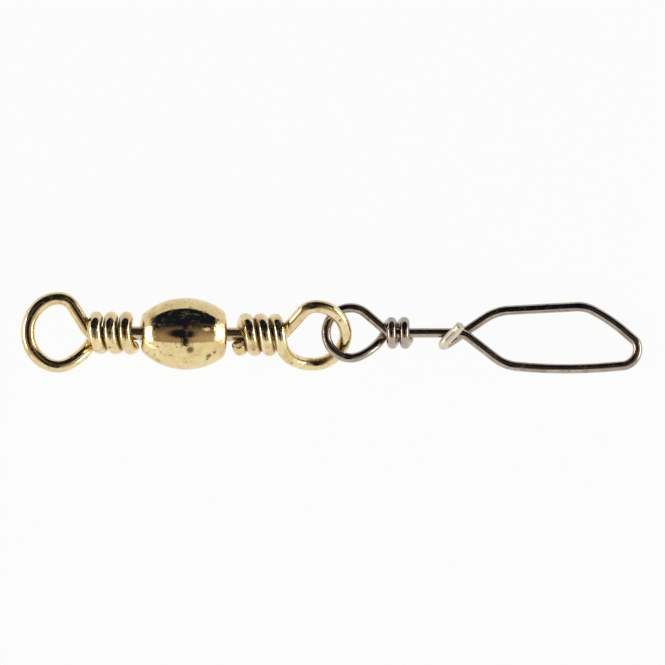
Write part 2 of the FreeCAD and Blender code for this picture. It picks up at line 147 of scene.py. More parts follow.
class StageSettings(bpy.types.PropertyGroup):
    """The table and what stands round it."""
    table: colour("Table", "Colour of the table top", "F4F4F2")
    ceiling: length("Ceiling", "Height of the dark ceiling over the table", 300.0)
    softbox: FloatProperty(
        name="Soft box", description="Brightness of each soft box, where 1 is white",
        default=4.0, min=0.0,
    )


# Small helpers

def add(tree, kind, inputs=None, **settings):
    """Add a node with its own settings.

    inputs holds values, sockets, or nodes for their first output, by name or number.
    """
    new = tree.nodes.new(kind)
    for key, value in settings.items():
        setattr(new, key, value)
    for key, value in (inputs or {}).items():
        if isinstance(value, bpy.types.Node):
            value = value.outputs[0]
        if isinstance(value, bpy.types.NodeSocket):
            tree.links.new(value, new.inputs[key])
        else:
            new.inputs[key].default_value = value
    return new


def per_mm(span):
    """Pattern scale that repeats once in this many millimetres."""
    return 1 / (span * MM)


def link_object(obj):
    """Put an object in the scene."""
    bpy.context.scene.collection.objects.link(obj)
    return obj


# Where the pieces lie: the joints of the frame give the swivel's axis and the ring's plane

def frame_matrix(x_axis, z_axis, origin):
    """A placement in millimetres from its X and Z directions and its origin."""
    x_axis = Vector(x_axis).normalized()
    z_axis = (Vector(z_axis) - x_axis * x_axis.dot(Vector(z_axis))).normalized()
    turn = Matrix((x_axis, z_axis.cross(x_axis), z_axis)).transposed().to_4x4()
    return Matrix.Translation(origin) @ turn


SWIVEL_AXIS = JOINTS["line_spin"]["axis"]
SWIVEL_CENTRE = Vector(JOINTS["line_spin"]["pos_m"]) / MM
SWIVEL = frame_matrix(SWIVEL_AXIS, (0, 0, 1), SWIVEL_CENTRE)
LINK = frame_matrix(SWIVEL_AXIS, JOINTS["snap_swing"]["axis"], SWIVEL_CENTRE)
HALF_ROUND = Matrix.Diagonal((-1, 1, -1, 1))

# How the snap lies in the link eye, in degrees and millimetres
SNAP_YAW = 0.7
SNAP_PITCH = 3.8078
SNAP_LEAN = 4.2
LINK_SLACK = 0.60
SNAP_SIDE_OFFSET = 0.22


# Centre lines of bent wire: every function gives points, in millimetres

def straight(start, end):
    """A straight run."""
    count = max(1, math.ceil((end - start).length / WIRE_STEP))
    return [start.lerp(end, i / count) for i in range(count + 1)]


def turned(centre, start, end, angle):
    """An arc from start to end about a centre, through an angle in radians."""
    u = start - centre
    v = (end - centre) - u * (end - centre).dot(u) / u.length_squared
    v = v.normalized() * u.length
    count = max(3, math.ceil(max(angle * u.length / WIRE_STEP, angle / math.radians(6))))
    steps = [angle * i / count for i in range(count + 1)]
    return [centre + u * math.cos(a) + v * math.sin(a) for a in steps]


def swept(start, out_handle, in_handle, end):
    """A cubic curve that leaves along out_handle and arrives along in_handle."""
    poles = (start, start + out_handle, end - in_handle, end)
    run = sum((b - a).length for a, b in zip(poles, poles[1:]))
    count = max(3, math.ceil(run / WIRE_STEP))
    points = []
    for i in range(count + 1):
        t = i / count
        s = 1 - t
        weights = (s * s * s, 3 * s * s * t, 3 * s * t * t, t * t * t)
        points.append(sum((p * w for p, w in zip(poles, weights)), Vector()))
    return points


def joined(pieces):
    """One run of points from several, without the doubled ends."""
    points = [pieces[0][0]]
    for piece in pieces:
        points.extend(p for p in piece if (p - points[-1]).length > 0.004)
    return points


def rounded(corners, radii):
    """Straight runs joined by tangent arcs, which shrink where they share a short run."""
    runs = [(b - a).length for a, b in zip(corners, corners[1:])]
    bends = []
    for before, corner, after, radius in zip(corners, corners[1:], corners[2:], radii):
        back = (before - corner).normalized()
        ahead = (after - corner).normalized()
        half_turn = (math.pi - back.angle(ahead)) / 2
        bends.append((corner, back, ahead, half_turn, radius * math.tan(half_turn)))
    reaches = [0.0] + [bend[4] for bend in bends] + [0.0]
    shares = [min(1.0, 0.998 * run / max(a + b, 1e-9))
              for run, a, b in zip(runs, reaches, reaches[1:])]

    pieces = []
    here = corners[0]
    for (corner, back, ahead, half_turn, reach), left, right in zip(bends, shares, shares[1:]):
        reach *= min(left, right)
        start = corner + back * reach
        end = corner + ahead * reach
        middle = (back + ahead).normalized()
        centre = corner + middle * (reach / math.sin(half_turn))
        pieces += [straight(here, start), turned(centre, start, end, 2 * half_turn)]
        here = end
    pieces.append(straight(here, corners[-1]))
    return joined(pieces)


@dataclass
class Eye:
    """A bent eye: its shank rises as a leg, rings round and wraps itself.

    Distances are in millimetres: outward along the shank, upward in the plane of the ring,
    and forward. root is from the first wrap to the ring's middle, and leans is how far the
    wraps lie outwards from an even helix in front, on top, behind and below.
    """
    placement: Matrix
    wire: float
    shank: float
    half_height: float
    nose_flat: float
    shoulder_radius: float
    bend_radius: float
    leg_clearance: float
    wrap_clearance: float
    wrap_gap: float
    turns: float
    root: float
    leans: tuple
    tail_shift: float
    leg_fullness: float
    tail_x: float

    def place(self, outward, upward, forward):
        return self.placement @ Vector((outward, upward, forward))

    def direction(self, outward, upward, forward):
        return self.placement.to_3x3() @ Vector((outward, upward, forward))

    @property
    def pitch(self):
        return self.wire + self.wrap_gap

    @property
    def helix_radius(self):
        return (self.wire + self.shank) / 2 + self.wrap_clearance

    @property
    def crossing_x(self):
        """Where the lower leg crosses the shank and becomes the first wrap, but for its lean."""
        return self.tail_x + self.pitch * self.turns - self.lean(4 * self.turns)

    @property
    def centre_x(self):
        return self.crossing_x + self.root

    @property
    def half_width(self):
        return self.half_height - self.nose_flat

    @property
    def nose_x(self):
        return self.centre_x + self.half_width

    def arc(self, x, y, radius, start_angle, end_angle):
        """An arc in the plane of the ring, its angles in radians."""
        angle = end_angle - start_angle
        count = max(3, math.ceil(abs(angle) * radius / WIRE_STEP))
        angles = [start_angle + angle * i / count for i in range(count + 1)]
        return [self.place(x + radius * math.cos(a), y + radius * math.sin(a), 0)
                for a in angles]

    def lean(self, quarter):
        """How far outwards a wrap lies from an even helix, at this many quarter turns."""
        low = math.floor(quarter)
        share = quarter - low
        return self.leans[low % 4] * (1 - share) + self.leans[(low + 1) % 4] * share

    def wrap_x(self, quarter):
        """Position along the shank after this many quarter turns from the crossing."""
        tail = self.tail_shift * max(0.0, quarter - 4 * self.turns + 1)
        return self.crossing_x - self.pitch * quarter / 4 + self.lean(quarter) + tail

    def wrap_point(self, quarter):
        angle = math.pi / 2 * (1 - quarter)
        return self.place(
            self.wrap_x(quarter),
            self.helix_radius * math.cos(angle),
            self.helix_radius * math.sin(angle),
        )

    def wrap_handle(self, quarter, span):
        """Curve handle at a point of the wraps, for a span given in quarter turns."""
        low = max(quarter - 1, 0.0)
        high = min(quarter + 1, 4 * self.turns)
        slope = (self.wrap_x(high) - self.wrap_x(low)) / (high - low)
        angle = math.pi / 2 * (1 - quarter)
        reach = 4 / 3 * math.tan(math.pi / 8 * span)
        swing = reach * self.helix_radius
        return self.direction(
            reach * slope * 2 / math.pi, swing * math.sin(angle), -swing * math.cos(angle)
        )

    def wraps(self):
        """Quarter-turn curves: front, top, behind, bottom, and on towards the tail."""
        steps = [float(q) for q in range(math.ceil(4 * self.turns))] + [4 * self.turns]
        for start, end in zip(steps, steps[1:]):
            span = end - start
            yield swept(
                self.wrap_point(start),
                self.wrap_handle(start, span),
                self.wrap_handle(end, span),
                self.wrap_point(end),
            )

    def leg(self):
        """The shank's bend, clear of the first wrap, and the end of the straight leg.

        The leg's angle and the place of its bend depend on each other, and settle in rounds.
        """
        rise = self.half_height - self.shoulder_radius
        angle = math.radians(50)
        for _ in range(20):
            ease = self.wire + self.leg_clearance - self.helix_radius * math.cos(angle)
            bend_x = self.wrap_x(1) + max(ease, 0.0) / math.sin(angle)
            run = self.centre_x - bend_x
            angle = math.atan2(rise, run)
            angle += math.asin(min(self.shoulder_radius / math.hypot(run, rise), 0.95))
        end_x = self.centre_x - self.shoulder_radius * math.sin(angle)
        end_y = rise + self.shoulder_radius * math.cos(angle)
        return bend_x, self.place(bend_x, 0, 0), self.place(end_x, end_y, 0), angle

    def path(self, run_in, radii):
        """The whole centre line: what runs in to the shank's bend, then the eye and wraps."""
        _, bend, leg_end, leg_angle = self.leg()
        flat = self.nose_flat
        upright = math.pi / 2
        joint = math.atan2(4, 3)
        side_radius = self.half_width - flat
        shoulder_y = self.half_height - self.shoulder_radius
        nose_radius = self.half_width + 1.5 * flat
        heading = self.wrap_handle(0.0, 1.0).normalized()
        pieces = [
            rounded(run_in + [bend, leg_end], radii + [self.bend_radius]),
            self.arc(self.centre_x, shoulder_y, self.shoulder_radius,
                     upright + leg_angle, upright),
            self.arc(self.centre_x, 2 * flat, side_radius, upright, joint),
            self.arc(self.centre_x - 1.5 * flat, 0, nose_radius, joint, -joint),
            self.arc(self.centre_x, -2 * flat, side_radius, -joint, -upright),
            swept(
                self.place(self.centre_x, -self.half_height, 0),
                self.direction(-self.leg_fullness * self.root, 0, 0),
                heading * (self.leg_fullness * self.half_height),
                self.wrap_point(0.0),
            ),
        ]
        return joined(pieces + list(self.wraps()))


def swivel_eye(side):
    """The form of the line eye or the link eye, in millimetres."""
    barrel = bpy.context.scene.barrel_settings
    eye = bpy.context.scene.eye_settings
    line = side == "line"
    neck = 0.05 if line else 0.33
    return Eye(
        placement=SWIVEL @ HALF_ROUND if line else LINK,
        wire=eye.wire / MM,
        shank=eye.shank / MM,
        half_height=eye.half_height / MM,
        nose_flat=0.21,
        shoulder_radius=1.19,
        bend_radius=0.58,
        leg_clearance=0.04,
        wrap_clearance=0.09,
        wrap_gap=0.155 if line else 0.135,
        turns=2.825 if line else 2.98,
        root=2.33 if line else 2.495,
        leans=(-0.33, -0.10, 0.37, 0.10) if line else (0.0, -0.03, 0.08, 0.18),
        tail_shift=0.0 if line else 0.085,
        leg_fullness=0.42 if line else 0.50,
        tail_x=barrel.length / MM / 2 + neck + eye.wire / MM / 2,
    )


def snap_eye(placement):
    """The form of the snap's own eye, in millimetres."""
    snap = bpy.context.scene.snap_settings
    return Eye(
        placement=placement @ HALF_ROUND,
        wire=snap.wire / MM,
        shank=snap.wire / MM,
        half_height=snap.half_height / MM,
        nose_flat=0.02,
        shoulder_radius=1.70,
        bend_radius=0.50,
        leg_clearance=0.04,
        wrap_clearance=0.11,
        wrap_gap=0.24,
        turns=1.95,
        root=2.48,
        leans=(0.0, -0.19, 0.06, 0.19),
        tail_shift=0.0,
        leg_fullness=0.37,
        tail_x=snap.shaft / MM,
    )


def snap_placement():
    """Where the end of the snap's shaft lies, so that its nose hangs in the link eye."""
    link = swivel_eye("link")
    eye = snap_eye(Matrix.Identity(4))
    nose = eye.place(eye.nose_x, 0, 0)
    apart = (link.wire + bpy.context.scene.snap_settings.wire / MM) / 2
    hang = link.place(link.nose_x - apart - LINK_SLACK, SNAP_SIDE_OFFSET, 0)
    turn = (
        Matrix.Rotation(math.radians(SNAP_YAW), 4, "Z")
        @ Matrix.Rotation(math.radians(SNAP_PITCH), 4, "Y")
        @ Matrix.Rotation(math.radians(-SNAP_LEAN), 4, "X")
    )
    return Matrix.Translation(hang - turn @ nose) @ turn


def snap_run_in():
    """Corners of the snap from the hook's cut end, round the loop, to the end of the shaft.

    They are in millimetres from the end of the shaft, along it, across it and upwards.
    """
    snap = bpy.context.scene.snap_settings
    wire = snap.wire / MM
    reach = snap.reach / MM
    under = wire + 0.04
    hip = Vector((2.40, 1.62, -0.45))
    flat_run = math.hypot(hip.x, hip.y)
    dip = (under + hip.z) / flat_run
    hook_reach = 1.67
    along = Vector((hip.x, hip.y, 0)) / flat_run * -hook_reach
    hook_low = Vector((along.x, along.y, -under - dip * hook_reach))
    mouth = wire + 0.30
    hook_high = Vector((-1.48, -0.79, mouth - 0.54))
    turn = (hook_high - hook_low).length / 2
    corners = [
        ((-0.27, 0.44, mouth + 0.36), None),
        ((-0.55, 0.11, mouth), 0.90),
        (hook_high, turn),
        (hook_low, turn),
        (hip, 3.67),
        ((8.88, 1.93, 0), 2.38),
        ((10.78, 0.86, 0), 11.5),
        ((reach, -0.74, 0), 0.76),
        ((reach, -2.29, 0), 1.22),
        ((7.40, -2.73, 0), 36.0),
        ((3.00, -2.34, 0), 2.95),
        ((0, 0, 0), 1.50),
    ]
    return [Vector(corner) for corner, _ in corners], [radius for _, radius in corners[1:]]


# Skins

def open_tree(name, takes, gives):
    """A geometry node tree with its named inputs, and its one result."""
    tree = bpy.data.node_groups.new(name, "GeometryNodeTree")
    for socket, kind in takes:
        tree.interface.new_socket(socket, in_out="INPUT", socket_type=f"NodeSocket{kind}")
    tree.interface.new_socket(gives, in_out="OUTPUT", socket_type="NodeSocketGeometry")
    return tree, add(tree, "NodeGroupInput").outputs


def close_tree(tree, skin, metal):
    """The end of a skin's nodes: real faces, made of its metal."""
    real = add(tree, "GeometryNodeRealizeInstances", {"Geometry": skin})
    made = add(tree, "GeometryNodeSetMaterial", {"Geometry": real, "Material": metal})
    add(tree, "NodeGroupOutput", {0: made})
    return tree


def wire_skin_tree():
    """Geometry nodes that lay a round skin on a wire's centre line."""
    tree, given = open_tree("Wire skin", (
        ("Centre line", "Geometry"), ("Sides", "Int"), ("Metal", "Material"),
    ), "Skin")
    along = add(tree, "GeometryNodeSplineParameter").outputs["Length"]
    girth = add(tree, "GeometryNodeInputRadius").outputs["Radius"]
    line = add(tree, "GeometryNodeCaptureAttribute", {"Geometry": given["Centre line"]},
               domain="POINT")
    line.capture_items.new("FLOAT", "Along")
    line.capture_items.new("FLOAT", "Girth")
    tree.links.new(along, line.inputs["Along"])
    tree.links.new(girth, line.inputs["Girth"])

    circle = add(tree, "GeometryNodeCurvePrimitiveCircle",
                 {"Resolution": given["Sides"], "Radius": 1.0})
    rim = add(tree, "GeometryNodeCaptureAttribute", {"Geometry": circle}, domain="POINT")
    rim.capture_items.new("VECTOR", "Around")
    tree.links.new(add(tree, "GeometryNodeInputPosition").outputs["Position"],
                   rim.inputs["Around"])

    skin = add(tree, "GeometryNodeCurveToMesh", {
        "Curve": line, "Profile Curve": rim, "Scale": line.outputs["Girth"], "Fill Caps": True,
    })
    # the wire unrolled without a seam: round the wire in X and Y, along it in Z
    around = add(tree, "ShaderNodeVectorMath",
                 {0: rim.outputs["Around"], "Scale": line.outputs["Girth"]}, operation="SCALE")
    parts = add(tree, "ShaderNodeSeparateXYZ", {0: around}).outputs
    place = add(tree, "ShaderNodeCombineXYZ",
                {"X": parts["X"], "Y": parts["Y"], "Z": line.outputs["Along"]})
    stored = add(tree, "GeometryNodeStoreNamedAttribute", {
        "Geometry": skin, "Name": "wire_place", "Value": place,
    }, data_type="FLOAT_VECTOR", domain="POINT")
    return close_tree(tree, stored, given["Metal"])


def turned_shell_tree():
    """Geometry nodes that turn an outline about X and leave the ripples of swaging."""
    tree, given = open_tree("Turned shell", (
        ("Outline", "Geometry"), ("Segments", "Int"), ("Ripple height", "Float"),
        ("Ripple span", "Float"), ("Seed", "Float"), ("Metal", "Material"),
    ), "Shell")
    circle = add(tree, "GeometryNodeCurvePrimitiveCircle",
                 {"Resolution": given["Segments"], "Radius": 1e-6})
    upright = add(tree, "GeometryNodeTransform",
                  {"Geometry": circle, "Rotation": (0, math.pi / 2, 0)})
    turned_mesh = add(tree, "GeometryNodeCurveToMesh",
                      {"Curve": upright, "Profile Curve": given["Outline"], "Scale": 1.0})
    scale = add(tree, "ShaderNodeMath", {0: 1.0, 1: given["Ripple span"]}, operation="DIVIDE")
    wave = add(tree, "ShaderNodeTexNoise", {
        "W": given["Seed"], "Scale": scale, "Detail": 1.5, "Roughness": 0.45,
    }, noise_dimensions="4D")
    centred = add(tree, "ShaderNodeMath", {0: wave, 1: 0.5}, operation="SUBTRACT")
    height = add(tree, "ShaderNodeMath", {0: centred, 1: given["Ripple height"]},
                 operation="MULTIPLY")
    normal = add(tree, "GeometryNodeInputNormal")
    push = add(tree, "ShaderNodeVectorMath", {0: normal, "Scale": height}, operation="SCALE")
    rippled = add(tree, "GeometryNodeSetPosition", {"Geometry": turned_mesh, "Offset": push})
    return close_tree(tree, rippled, given["Metal"])


def grown(name, curve_object, tree, values):
    """Run a geometry node tree on a curve and keep its result as a plain mesh object."""
    modifier = curve_object.modifiers.new("Skin", "NODES")
    modifier.node_group = tree
    sockets = {item.name: item.identifier for item in tree.interface.items_tree}
    for key, value in values.items():
        modifier[sockets[key]] = value
    graph = bpy.context.evaluated_depsgraph_get()
    mesh = bpy.data.meshes.new_from_object(curve_object.evaluated_get(graph), depsgraph=graph)
    curve = curve_object.data
    curve_object.modifiers.remove(modifier)
    bpy.data.objects.remove(curve_object)
    bpy.data.curves.remove(curve)
    mesh.name = name
    return link_object(bpy.data.objects.new(name, mesh))


def centre_line(name, points, radii, closed=False):
    """A curve object through points in millimetres, with the wire's radius at each."""
    curve = bpy.data.curves.new(name, "CURVE")
    curve.dimensions = "3D"
    spline = curve.splines.new("POLY")
    spline.points.add(len(points) - 1)
    for knot, point, radius in zip(spline.points, points, radii):
        knot.co = (*(point * MM), 1.0)
        knot.radius = radius * MM
    spline.use_cyclic_u = closed
    return link_object(bpy.data.objects.new(name, curve))


def eased(share):
    """A share of a change, held between 0 and 1 and eased at both ends."""
    share = min(max(share, 0.0), 1.0)
    return share * share * (3 - 2 * share)


def run_lengths(points):
    """Distance travelled along a run at each of its points."""
    travelled = [0.0]
    for a, b in zip(points, points[1:]):
        travelled.append(travelled[-1] + (b - a).length)
    return travelled


def wraps_start(eye, run):
    """Distance along a wire to the start of its wraps."""
    return run[-1] - run_lengths(joined(list(eye.wraps())))[-1]


def wire_radii(points, radius, seed, cut_start, swells):
    """The wire's radius along its run: a hair uneven, and bevelled where it is cut.

    Its end is always cut. Each swell is where a fuller stretch starts and ends, in
    millimetres along the run, and how much fuller it is.
    """
    uneven, fullest, uneven_span = 0.012, 1.004, 1.7
    cut_share, cut_bevel, swell_ease = 0.82, 0.09, 1.2
    travelled = run_lengths(points)
    radii = []
    for here in travelled:
        drawn = 1 + uneven * noise.noise(Vector((here / uneven_span, seed, 0.5)))
        from_cut = travelled[-1] - here
        if cut_start:
            from_cut = min(from_cut, here)
        bevel = cut_share + (1 - cut_share) * eased(from_cut / cut_bevel)
        full = 1.0
        for start, end, more in swells:
            full += more * eased(min(here - start, end - here) / swell_ease)
        radii.append(radius * min(drawn, fullest) * bevel * full)
    return radii


def mark(obj, name, values):
    """Keep a value for each point of a skin, for its material to read."""
    obj.data.attributes.new(name, "FLOAT", "POINT").data.foreach_set("value", values)


def places_along(obj):
    """How far along its wire each point of a skin lies, in millimetres."""
    places = [0.0] * (3 * len(obj.data.vertices))
    obj.data.attributes["wire_place"].data.foreach_get("vector", places)
    return [along / MM for along in places[2::3]]


def mark_seam_shade(obj, points, radii, grimy_and_shaded=(0.0, 0.0, 0.0)):
    """Mark where a wire's skin lies close to another turn of the wire, in a seam, where tarnish
    and painted shade darken it.

    The last argument is a start, an end and a depth for a stretch of the wire darkened by dirt and
    painted shade.
    """
    travelled = run_lengths(points)
    tree = KDTree(len(points))
    for index, point in enumerate(points):
        tree.insert(point, index)
    tree.balance()
    widest = max(radii[len(radii) // 2:])  # past the head, which lies inside the barrel
    values = []
    for vertex, own in zip(obj.data.vertices, places_along(obj)):
        near = SEAM_REACH
        for _, index, apart in tree.find_range(vertex.co / MM, SEAM_REACH + widest):
            if abs(travelled[index] - own) > SAME_TURN:
                near = min(near, apart - radii[index])
        value = 1 - eased(near / SEAM_REACH)
        if grimy_and_shaded[0] < own < grimy_and_shaded[1]:
            value = max(value, grimy_and_shaded[2])
        values.append(value)
    mark(obj, "seam", values)


def press_pits(obj, pits):
    """Press small pits into a skin, and mark them for the tarnish.

    Each pit is its middle in metres, its radius and its depth in millimetres. A lip stands
    round its bowl, and the stain reaches a little past it.
    """
    lip_height, lip_place, lip_width = 0.22, 1.12, 0.22
    stain_from, stain_fade = 0.35, 0.9
    mesh = obj.data
    values = [0.0] * len(mesh.vertices)
    moves = {}
    for middle, radius, depth in pits:
        for vertex in mesh.vertices:
            apart = (vertex.co - middle).length / (radius * MM)
            if apart < 1.6:
                bowl = 1 - eased(apart)
                lip = lip_height * math.exp(-((apart - lip_place) / lip_width) ** 2)
                push = vertex.normal * (depth * MM * (lip - bowl))
                moves[vertex.index] = moves.get(vertex.index, Vector()) + push
                stain = 1 - eased((apart - stain_from) / stain_fade)
                values[vertex.index] = max(values[vertex.index], stain)
    for index, move in moves.items():
        mesh.vertices[index].co += move
    mark(obj, "pit", values)
    mesh.update()


def finish_skin(obj, body, node_name):
    """Give a finished skin its smooth faces and its place in the frame."""
    mesh = obj.data
    mesh.shade_smooth()
    mesh.set_sharp_from_angle(angle=math.radians(HARD_EDGE))
    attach(obj, body)
    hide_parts(node_name)


# Metals

def blank_material(name):
    """A material and its node tree, still empty."""
    material = bpy.data.materials.new(name)
    material.use_nodes = True
    material.node_tree.nodes.clear()
    return material, material.node_tree


def tarnish_and_shade_share(tree, where, stain):
    """How dark the metal is made by tarnish and by painted shade, from none at 0.

    Tarnish lies in small patches on the open metal and whole in the pits; the seams get
    larger patches of tarnish and painted shade. where is the place that the patterns read, and
    stain a slow pattern.
    """
    spot = add(tree, "ShaderNodeTexNoise", {
        "Vector": where, "Scale": per_mm(0.55), "Detail": 5.0, "Roughness": 0.68,
        "Distortion": 0.6,
    })
    spots = add(tree, "ShaderNodeMapRange", {
        "Value": spot, "From Min": 0.52, "From Max": 0.70, "To Max": 0.45,
    }, interpolation_type="SMOOTHSTEP")
    patches = add(tree, "ShaderNodeMapRange", {
        "Value": stain, "From Min": 0.30, "From Max": 0.65, "To Min": 0.30, "To Max": 0.75,
    })
    seam, pit = (add(tree, "ShaderNodeAttribute", attribute_name=name).outputs["Fac"]
                 for name in ("seam", "pit"))
    in_seam = add(tree, "ShaderNodeMath", {0: seam, 1: patches}, operation="MULTIPLY")
    worse = add(tree, "ShaderNodeMath", {0: in_seam, 1: spots}, operation="MAXIMUM")
    worst = add(tree, "ShaderNodeMath", {0: worse, 1: pit}, operation="MAXIMUM")
    return add(tree, "ShaderNodeMath", {0: worst, 1: 0.92}, operation="MULTIPLY")


def bright_metal(name, bright, dull, dark, grain, shine, unrolled):
    """A polished metal with soft stains, fine grain, tarnish in its pits, and tarnish with painted
    shade in its seams.

    grain stretches the scratches along the surface's own direction, in millimetres; shine
    is the lowest and highest roughness; on an unrolled wire, patterns follow its bends.
    """
    finish = bpy.context.scene.finish_settings
    material, tree = blank_material(name)
    if unrolled:
        where = add(tree, "ShaderNodeAttribute", attribute_name="wire_place").outputs["Vector"]
    else:
        where = add(tree, "ShaderNodeTexCoord").outputs["Object"]

    stain = add(tree, "ShaderNodeTexNoise", {
        "Vector": where, "Scale": per_mm(1.6), "Detail": 4.0, "Roughness": 0.62,
    })
    speck = add(tree, "ShaderNodeTexNoise", {
        "Vector": where, "Scale": per_mm(0.16), "Detail": 3.0, "Roughness": 0.7,
    })
    warmth = add(tree, "ShaderNodeMapRange", {
        "Value": stain, "From Min": 0.38, "From Max": 0.72,
    }, interpolation_type="SMOOTHSTEP")
    base = add(tree, "ShaderNodeMix", {"Factor": warmth, 6: (*bright, 1), 7: (*dull, 1)},
               data_type="RGBA")
    specks = add(tree, "ShaderNodeMapRange", {
        "Value": speck, "From Min": 0.48, "From Max": 0.72, "To Max": 0.75,
    })
    speckled = add(tree, "ShaderNodeMix", {
        "Factor": specks, 6: base.outputs[2], 7: (*dull, 1),
    }, data_type="RGBA")
    shade = tarnish_and_shade_share(tree, where, stain)
    coloured = add(tree, "ShaderNodeMix", {
        "Factor": shade, 6: speckled.outputs[2], 7: (*dark, 1),
    }, data_type="RGBA")
    hook_paling = add(tree, "ShaderNodeAttribute", attribute_name="hook_paling").outputs["Fac"]
    with_pale_hook = add(tree, "ShaderNodeMix", {
        "Factor": hook_paling, 6: coloured.outputs[2], 7: (*finish.hook_pale, 1),
    }, data_type="RGBA")

    # tarnish, grime and the painted shade of the seams are laid as an oxide film, so the metal's
    # mirror shows less where they lie
    bare = add(tree, "ShaderNodeMath", {0: shade, 1: -0.75, 2: 1.0}, operation="MULTIPLY_ADD")
    gloss = add(tree, "ShaderNodeMapRange", {
        "Value": stain, "From Min": 0.3, "From Max": 0.8, "To Min": shine[0], "To Max": shine[1],
    })
    rough_tarnish_and_shade = add(tree, "ShaderNodeMath", {0: shade, 1: 0.4, 2: gloss},
                    operation="MULTIPLY_ADD")
    dullness = add(tree, "ShaderNodeMath", {0: hook_paling, 1: 0.36, 2: rough_tarnish_and_shade},
                   operation="MULTIPLY_ADD")

    stretched = add(tree, "ShaderNodeVectorMath", {0: where, 1: grain}, operation="MULTIPLY")
    scratch = add(tree, "ShaderNodeTexNoise", {
        "Vector": stretched, "Scale": per_mm(1.0), "Detail": 5.0, "Roughness": 0.7,
    })
    relief = add(tree, "ShaderNodeMath", {0: speck, 1: 0.6, 2: scratch},
                 operation="MULTIPLY_ADD")
    bump = add(tree, "ShaderNodeBump",
               {"Strength": 1.0, "Distance": 0.0045 * MM, "Height": relief})
    shader = add(tree, "ShaderNodeBsdfPrincipled", {
        "Base Color": with_pale_hook.outputs[2], "Metallic": bare, "Roughness": dullness,
        "Normal": bump,
    })
    add(tree, "ShaderNodeOutputMaterial", {"Surface": shader})
    return material


def swaged_brass():
    """Polished cartridge brass, swaged: mirror bright, with fine rings from turning and pits."""
    finish = bpy.context.scene.finish_settings
    # turning marks 0.09 mm apart along the barrel and long round it
    return bright_metal("swaged brass", finish.brass, finish.brass_warm, finish.tarnish_and_seam_shade,
                        (11.0, 1.2, 1.2), (0.04, 0.09), False)


def drawn_brass():
    """Drawn brass wire, tumbled bright and a little paler than the barrel as painted sheen: long
    die lines along the wire, warm tarnish and painted shade in its seams.
    """
    finish = bpy.context.scene.finish_settings
    # die lines 0.07 mm apart round the wire and about 3 mm long
    return bright_metal("drawn brass wire", finish.brass_wire_and_sheen, finish.brass_warm, finish.tarnish_and_seam_shade,
                        (14.0, 14.0, 0.35), (0.07, 0.20), True)


def nickelled_spring_wire():
    """Hard steel wire with a thin nickel plating: greyer, with long faint die lines."""
    finish = bpy.context.scene.finish_settings
    # die lines 0.06 mm apart round the wire and about 4 mm long
    return bright_metal("nickelled spring wire", finish.nickel, finish.nickel_dull,
                        finish.grime_and_seam_shade, (16.0, 16.0, 0.25), (0.035, 0.09), True)


METALS = {}


def metal(maker):
    """A metal by its maker, made once."""
    if maker not in METALS:
        METALS[maker] = maker()
    return METALS[maker]


# Operators, one for each piece and one for the stage

def barrel_outline():
    """The shell's closed outline above its axis, in millimetres: along and out."""
    shell = bpy.context.scene.barrel_settings
    half = shell.length / MM / 2
    girth = shell.girth / MM / 2
    bow = shell.bow_radius / MM
    shift = shell.belly_shift / MM
    corner = shell.corner_radius / MM
    wall = shell.wall / MM
    hole = shell.hole / MM / 2
    inside = half - shell.end_wall / MM

    def bow_height(x, radius):
        return girth - bow + math.sqrt(radius ** 2 - (x - shift) ** 2)

    def corner_turn(side):
        """Centre of the arc that rounds an end, and the angle where it meets the bow."""
        x = side * (half - corner)
        y = girth - bow + math.sqrt((bow - corner) ** 2 - (x - shift) ** 2)
        return x, y, math.atan2(y - (girth - bow), x - shift)

    def arc(x, y, radius, start, end, count):
        angles = [start + (end - start) * i / count for i in range(count + 1)]
        return [(x + radius * math.cos(a), y + radius * math.sin(a)) for a in angles]

    right_x, right_y, right_angle = corner_turn(1)
    left_x, left_y, left_angle = corner_turn(-1)
    faces, corners, bows, linings = 8, 18, 120, 16  # how finely each stretch is divided
    outline = [(half, hole + (right_y - hole) * i / faces) for i in range(faces)]
    outline += arc(right_x, right_y, corner, 0, right_angle, corners)
    outline += arc(shift, girth - bow, bow, right_angle, left_angle, bows)[1:-1]
    outline += arc(left_x, left_y, corner, left_angle, math.pi, corners)
    outline += [(-half, left_y - (left_y - hole) * i / faces) for i in range(1, faces + 1)]
    lining = [-inside + 2 * inside * i / linings for i in range(linings + 1)]
    lining = [(x, bow_height(x, bow - wall)) for x in lining]
    return [*outline, (-inside, hole), *lining, (inside, hole)]


